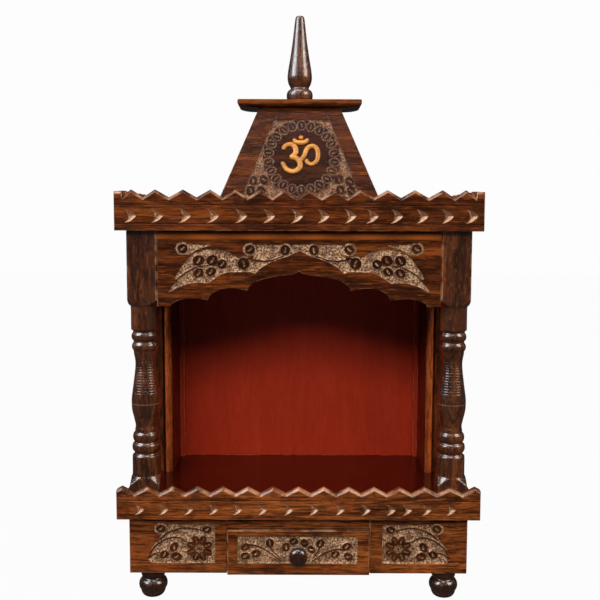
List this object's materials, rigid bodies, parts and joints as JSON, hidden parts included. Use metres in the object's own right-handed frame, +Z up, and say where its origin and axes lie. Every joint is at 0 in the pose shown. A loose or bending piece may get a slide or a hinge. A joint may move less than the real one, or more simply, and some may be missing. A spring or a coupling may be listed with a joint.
{
  "type": "home temple with a drawer",
  "caption": "Carved wooden home temple with an open shrine behind a cusped arch on turned columns, a tapering tower with a finial, and a drawer in its base.",
  "frame": {"origin": "bottom centre of the bounding box, on the floor under the feet", "axes": "+Z up, the front with its drawer faces -Y, +X to the right seen from the front"},
  "size_m": [0.385, 0.216, 0.6319],
  "materials": {
    "stained_wood": "glossy brown stain",
    "red_lacquered_wood": "glossy red-brown lacquer",
    "dark_turned_wood": "glossy dark stain",
    "plain_inner_wood": "thin stain"
  },
  "bodies": {
    "case": {"foot_front_left": "dark_turned_wood", "foot_front_right": "dark_turned_wood", "foot_back_left": "dark_turned_wood", "foot_back_right": "dark_turned_wood", "base_front_left": "stained_wood", "base_front_right": "stained_wood", "base_top_rail": "stained_wood", "base_side_left": "stained_wood", "base_side_right": "stained_wood", "base_back": "stained_wood", "base_bottom": "plain_inner_wood", "drawer_guide_left": "plain_inner_wood", "drawer_guide_right": "plain_inner_wood", "floor_board": "red_lacquered_wood", "base_rail": "stained_wood", "column_left": "stained_wood", "column_right": "stained_wood", "stile_left": "stained_wood", "stile_right": "stained_wood", "wall_left": "stained_wood", "wall_right": "stained_wood", "back_panel": "red_lacquered_wood", "corner_batten_left": "red_lacquered_wood", "corner_batten_right": "red_lacquered_wood", "arch_panel": "stained_wood", "side_frieze_left": "stained_wood", "side_frieze_right": "stained_wood", "roof_board": "stained_wood", "cornice_front": "stained_wood", "cornice_left": "stained_wood", "cornice_right": "stained_wood", "tower_front": "stained_wood", "tower_back": "stained_wood", "tower_left": "stained_wood", "tower_right": "stained_wood", "tower_cap": "stained_wood", "finial": "stained_wood"},
    "drawer": {"drawer_front": "stained_wood", "drawer_side_left": "plain_inner_wood", "drawer_side_right": "plain_inner_wood", "drawer_back": "plain_inner_wood", "drawer_bottom": "plain_inner_wood", "drawer_knob": "dark_turned_wood"}
  },
  "joints": [
    {"name": "drawer_slide", "type": "slide", "parent": "case", "child": "drawer", "axis": [0, -1, 0], "range_m": [0, 0.13]}
  ]
}
